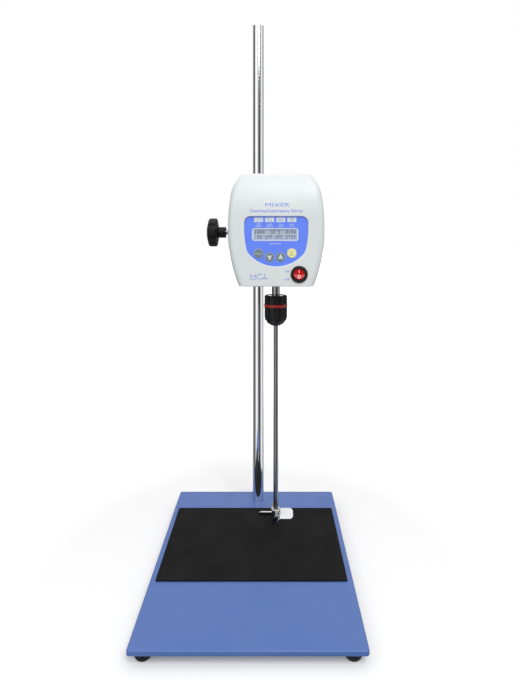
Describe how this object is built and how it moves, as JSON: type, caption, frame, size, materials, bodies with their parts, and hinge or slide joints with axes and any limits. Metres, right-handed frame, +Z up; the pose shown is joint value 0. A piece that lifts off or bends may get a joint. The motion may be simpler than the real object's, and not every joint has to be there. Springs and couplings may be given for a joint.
{
  "type": "overhead laboratory stirrer",
  "caption": "Overhead lab stirrer: motor head with display and keys on a rod stand, keyless chuck, stirring shaft with propeller.",
  "frame": {"origin": "on the bench, under the middle of the base plate", "axes": "+X to the right seen from the control panel, +Y to the back where the rod stands, +Z up along the rod"},
  "size_m": [0.26, 0.36, 0.808],
  "materials": {
    "plate_paint": "fine textured powder coat",
    "mat_rubber": "matte",
    "foot_rubber": "satin",
    "rod_steel": "ground and polished",
    "screw_steel": "zinc plated",
    "housing_plastic": "satin painted moulding",
    "panel_film": "satin printed film",
    "display_glass": "gloss",
    "key_grey": "satin",
    "key_yellow": "satin",
    "switch_black": "satin",
    "rocker_red": "gloss, translucent",
    "chuck_black": "satin",
    "chuck_red": "satin",
    "chuck_steel": "black oxide",
    "knob_black": "moulded satin",
    "bright_steel": "ground",
    "shaft_steel": "turned, dull",
    "sheet_steel": "zinc plated",
    "cast_aluminium": "die cast",
    "bearing_steel": "polished",
    "nylon": "moulded",
    "board_laminate": "solder mask",
    "magnet_ferrite": "sintered",
    "rotor_iron": "laminated",
    "belt_rubber": "matte",
    "seal_rubber": "matte",
    "pad_brass": "turned",
    "lead_cover": "flexible"
  },
  "bodies": {
    "stand": {"base_plate": "plate_paint", "rubber_mat": "mat_rubber", "rubber_feet": "foot_rubber", "foot_screws": "screw_steel", "stand_rod": "rod_steel", "rod_washer": "screw_steel", "rod_screw": "screw_steel"},
    "carrier": {"guide_bushes": "nylon"},
    "head": {"front_shell": "housing_plastic", "rear_cover": "housing_plastic", "housing_screws": "screw_steel", "chassis": "sheet_steel", "clamp_block": "cast_aluminium", "clamp_bolts": "screw_steel", "bearing_housing": "cast_aluminium", "chassis_screws": "screw_steel", "bearing_outer_rings": "bearing_steel", "bearing_spacer": "sheet_steel", "spindle_seal": "seal_rubber", "drive_belt": "belt_rubber", "motor_can": "sheet_steel", "motor_magnets": "magnet_ferrite", "control_panel": "panel_film", "display_glass": "display_glass", "display_module": "board_laminate", "control_board": "board_laminate", "driver_board": "board_laminate", "board_standoffs": "pad_brass", "board_screws": "screw_steel", "switch_body": "switch_black", "power_inlet": "switch_black", "internal_leads": "lead_cover"},
    "clamp_pad": {"clamp_pad": "pad_brass"},
    "clamp_screw": {"clamp_stud": "bright_steel", "clamp_knob": "knob_black"},
    "spindle": {"spindle": "shaft_steel", "bearing_inner_rings": "bearing_steel", "spindle_circlip": "screw_steel", "spindle_pulley": "cast_aluminium", "chuck_body": "chuck_steel", "chuck_cap": "bright_steel", "chuck_rear_sleeve": "chuck_black"},
    "bearing_cages": {"bearing_balls": "bearing_steel", "bearing_cages": "sheet_steel"},
    "rotor": {"motor_shaft": "bright_steel", "motor_rotor": "rotor_iron", "motor_pulley": "cast_aluminium"},
    "chuck_sleeve": {"chuck_front_sleeve": "chuck_black", "chuck_ring": "chuck_red", "chuck_nut": "chuck_steel"},
    "jaw_1": {"chuck_jaw_1": "bright_steel"},
    "jaw_2": {"chuck_jaw_2": "bright_steel"},
    "jaw_3": {"chuck_jaw_3": "bright_steel"},
    "shaft": {"stirring_shaft": "shaft_steel", "propeller": "bright_steel"},
    "select_key": {"select_key": "key_grey"},
    "down_key": {"down_key": "key_grey"},
    "up_key": {"up_key": "key_grey"},
    "start_key": {"start_key": "key_yellow"},
    "rocker": {"rocker": "rocker_red"}
  },
  "joints": [
    {"name": "head_height", "type": "slide", "parent": "stand", "child": "carrier", "axis": [0, 0, 1], "range_m": [-0.018, 0.3]},
    {"name": "head_swivel", "type": "hinge", "parent": "carrier", "child": "head", "pos_m": [0.004, 0.15, 0.463], "axis": [0, 0, 1], "range_deg": [-180, 180]},
    {"name": "pad_slide", "type": "slide", "parent": "head", "child": "clamp_pad", "axis": [-1, 0, 0], "range_m": [0, 0.0026]},
    {"name": "knob_turn", "type": "hinge", "parent": "clamp_pad", "child": "clamp_screw", "pos_m": [-0.05, 0.15, 0.463], "axis": [-1, 0, 0], "range_deg": [0, 720]},
    {"name": "spindle_turn", "type": "hinge", "parent": "head", "child": "spindle", "pos_m": [0.032, 0.0392, 0.4], "axis": [0, 0, 1], "continuous": true},
    {"name": "cage_turn", "type": "hinge", "parent": "head", "child": "bearing_cages", "pos_m": [0.032, 0.0392, 0.426], "axis": [0, 0, 1], "continuous": true},
    {"name": "rotor_turn", "type": "hinge", "parent": "head", "child": "rotor", "pos_m": [0.032, 0.092, 0.43], "axis": [0, 0, 1], "continuous": true},
    {"name": "sleeve_turn", "type": "hinge", "parent": "spindle", "child": "chuck_sleeve", "pos_m": [0.032, 0.0392, 0.345], "axis": [0, 0, 1], "range_deg": [0, 1390]},
    {"name": "jaw_1_slide", "type": "slide", "parent": "spindle", "child": "jaw_1", "axis": [0.2241, 0.1294, 0.9659], "range_m": [0, 0.0058]},
    {"name": "jaw_2_slide", "type": "slide", "parent": "spindle", "child": "jaw_2", "axis": [-0.2241, 0.1294, 0.9659], "range_m": [0, 0.0058]},
    {"name": "jaw_3_slide", "type": "slide", "parent": "spindle", "child": "jaw_3", "axis": [0, -0.2588, 0.9659], "range_m": [0, 0.0058]},
    {"name": "shaft_depth", "type": "slide", "parent": "spindle", "child": "shaft", "axis": [0, 0, 1], "range_m": [0, 0.015]},
    {"name": "select_key_press", "type": "slide", "parent": "head", "child": "select_key", "axis": [0, 1, 0], "range_m": [0, 0.0006], "stiffness_N_per_m": 1500, "springref_m": -0.0006},
    {"name": "down_key_press", "type": "slide", "parent": "head", "child": "down_key", "axis": [0, 1, 0], "range_m": [0, 0.0006], "stiffness_N_per_m": 1500, "springref_m": -0.0006},
    {"name": "up_key_press", "type": "slide", "parent": "head", "child": "up_key", "axis": [0, 1, 0], "range_m": [0, 0.0006], "stiffness_N_per_m": 1500, "springref_m": -0.0006},
    {"name": "start_key_press", "type": "slide", "parent": "head", "child": "start_key", "axis": [0, 1, 0], "range_m": [0, 0.0006], "stiffness_N_per_m": 1500, "springref_m": -0.0006},
    {"name": "rocker_tilt", "type": "hinge", "parent": "head", "child": "rocker", "pos_m": [0.0631, -0.0186, 0.406], "axis": [1, 0, 0], "range_deg": [0, 20]}
  ],
  "couplings": [
    {"joint": "pad_slide", "follows": "knob_turn", "m_per_rad": 0.00019894},
    {"joint": "cage_turn", "follows": "spindle_turn", "ratio": 0.381},
    {"joint": "rotor_turn", "follows": "spindle_turn", "ratio": 2.1},
    {"joint": "jaw_1_slide", "follows": "sleeve_turn", "m_per_rad": 0.00023873},
    {"joint": "jaw_2_slide", "follows": "sleeve_turn", "m_per_rad": 0.00023873},
    {"joint": "jaw_3_slide", "follows": "sleeve_turn", "m_per_rad": 0.00023873}
  ]
}
